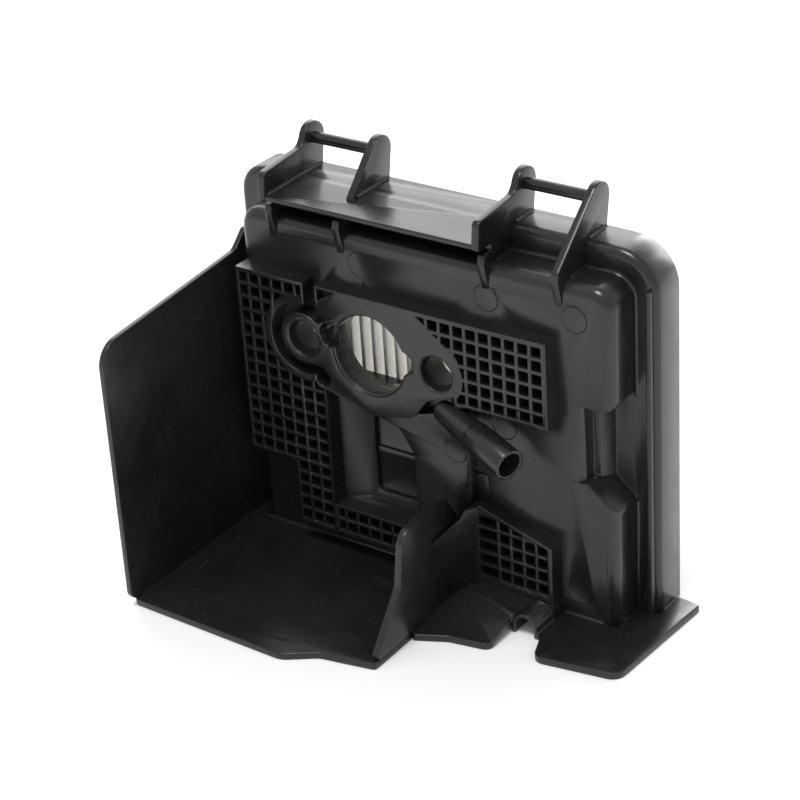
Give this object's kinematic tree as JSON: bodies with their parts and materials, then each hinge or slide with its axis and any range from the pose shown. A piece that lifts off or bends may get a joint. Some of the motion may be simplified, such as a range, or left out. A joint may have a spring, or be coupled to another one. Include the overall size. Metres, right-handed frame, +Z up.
{
  "type": "air filter housing",
  "caption": "Black moulded air filter housing of a small engine, with intake bore, bolt bosses, breather spout, latch bars, splash shield and a slide-out pleated filter element.",
  "frame": {"origin": "centre of the intake bore, on the face that meets the carburettor", "axes": "+X to the right seen from the engine, +Y into the housing towards the filter side, +Z up"},
  "size_m": [0.1361, 0.0781, 0.1175],
  "materials": {
    "black_plastic": "satin, fine moulded grain",
    "filter_seal": "soft moulded foam rubber",
    "filter_paper": "pleated fibre paper"
  },
  "bodies": {
    "housing": {"body_shell": "black_plastic", "rim_frame": "black_plastic", "cover_guide_rib": "black_plastic", "intake_flange": "black_plastic", "intake_tube": "black_plastic", "bolt_boss_left": "black_plastic", "bolt_boss_right": "black_plastic", "breather_spout": "black_plastic", "lattice_left": "black_plastic", "lattice_strip": "black_plastic", "lattice_right": "black_plastic", "lattice_lower_right": "black_plastic", "recess_tub": "black_plastic", "service_pad": "black_plastic", "latch_ear_left_outer": "black_plastic", "latch_ear_left_inner": "black_plastic", "latch_ear_right_inner": "black_plastic", "latch_ear_right_outer": "black_plastic", "latch_bar_left": "black_plastic", "latch_bar_right": "black_plastic", "rain_shelf": "black_plastic", "side_shield": "black_plastic", "floor_tray": "black_plastic", "divider_fin": "black_plastic", "bridge_floor": "black_plastic", "foot_plate": "black_plastic"},
    "filter_element": {"filter_seal": "filter_seal", "filter_paper": "filter_paper"}
  },
  "joints": [
    {"name": "filter_slide", "type": "slide", "parent": "housing", "child": "filter_element", "axis": [0, 1, 0], "range_m": [0, 0.03]}
  ]
}
